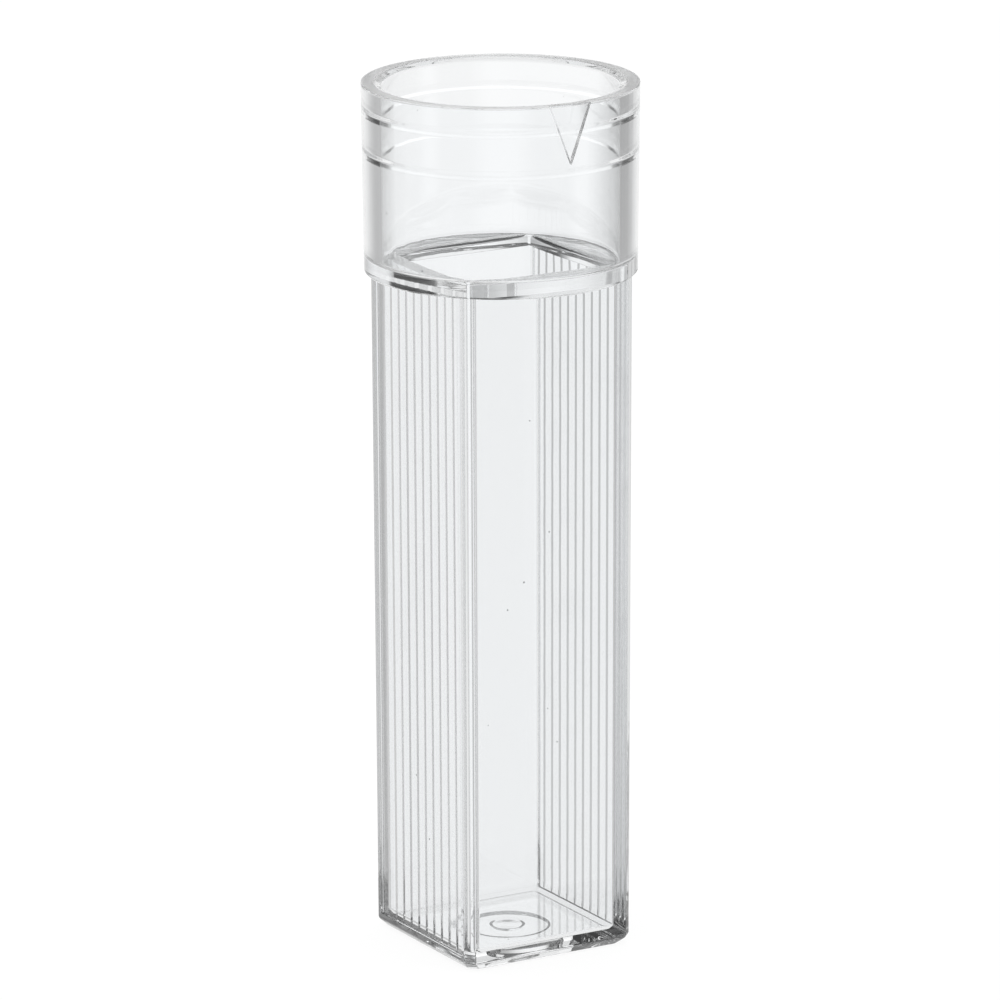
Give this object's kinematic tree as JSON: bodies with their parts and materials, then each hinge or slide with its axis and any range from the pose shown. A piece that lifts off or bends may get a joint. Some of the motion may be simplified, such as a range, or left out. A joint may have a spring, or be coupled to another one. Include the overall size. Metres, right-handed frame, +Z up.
{
  "type": "cuvette",
  "caption": "Clear square cuvette with two sunk grooved sides, two plain windows and a round collar whose bore takes a stopper; it stands in a cell holder or on its base.",
  "frame": {"origin": "middle of the base, on the surface it stands on", "axes": "+Z up along the cell, +X out of a grooved side, -Y out of the clear window below the alignment mark"},
  "size_m": [0.018, 0.0179, 0.0573],
  "materials": {
    "clear_plastic": "clear polished polystyrene"
  },
  "bodies": {
    "root": {"cuvette": "clear_plastic"}
  },
  "joints": []
}
